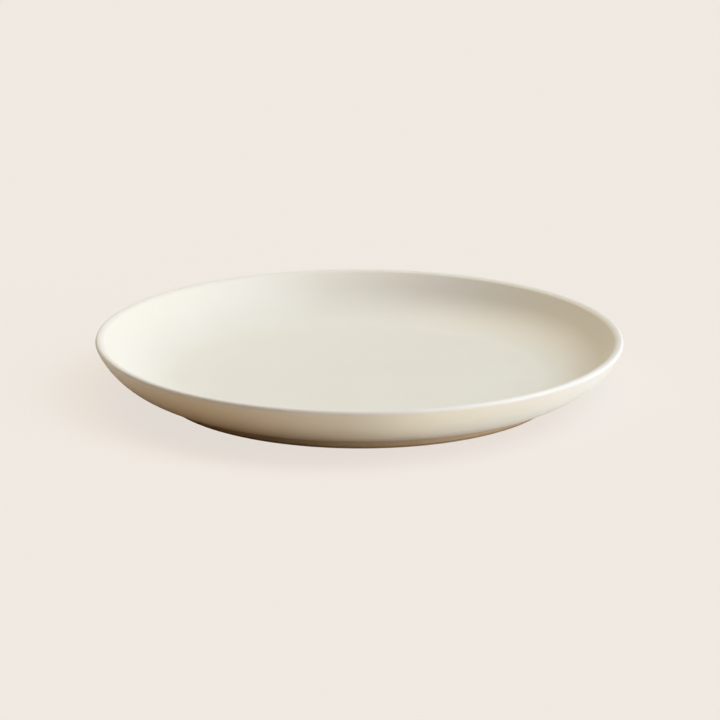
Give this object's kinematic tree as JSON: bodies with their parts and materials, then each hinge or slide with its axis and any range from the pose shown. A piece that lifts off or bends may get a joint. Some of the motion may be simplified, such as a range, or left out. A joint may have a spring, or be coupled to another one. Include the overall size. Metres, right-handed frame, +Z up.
{
  "type": "coupe plate",
  "caption": "Round rimless plate with a flat well, a wall that sweeps up to a rounded lip, and a low foot ring.",
  "frame": {"origin": "on the plate's axis, in the plane that the foot ring stands on", "axes": "+Z up along the plate's axis, out of the well; X and Y are any two directions across it"},
  "size_m": [0.27, 0.27, 0.029],
  "materials": {
    "bare_stoneware": "matte, fired, unglazed",
    "satin_glaze": "satin",
    "recess_glaze": "satin, thinner coat"
  },
  "bodies": {
    "root": {"stoneware_body": "bare_stoneware", "glaze_coat": "satin_glaze", "recess_glaze": "recess_glaze"}
  },
  "joints": []
}
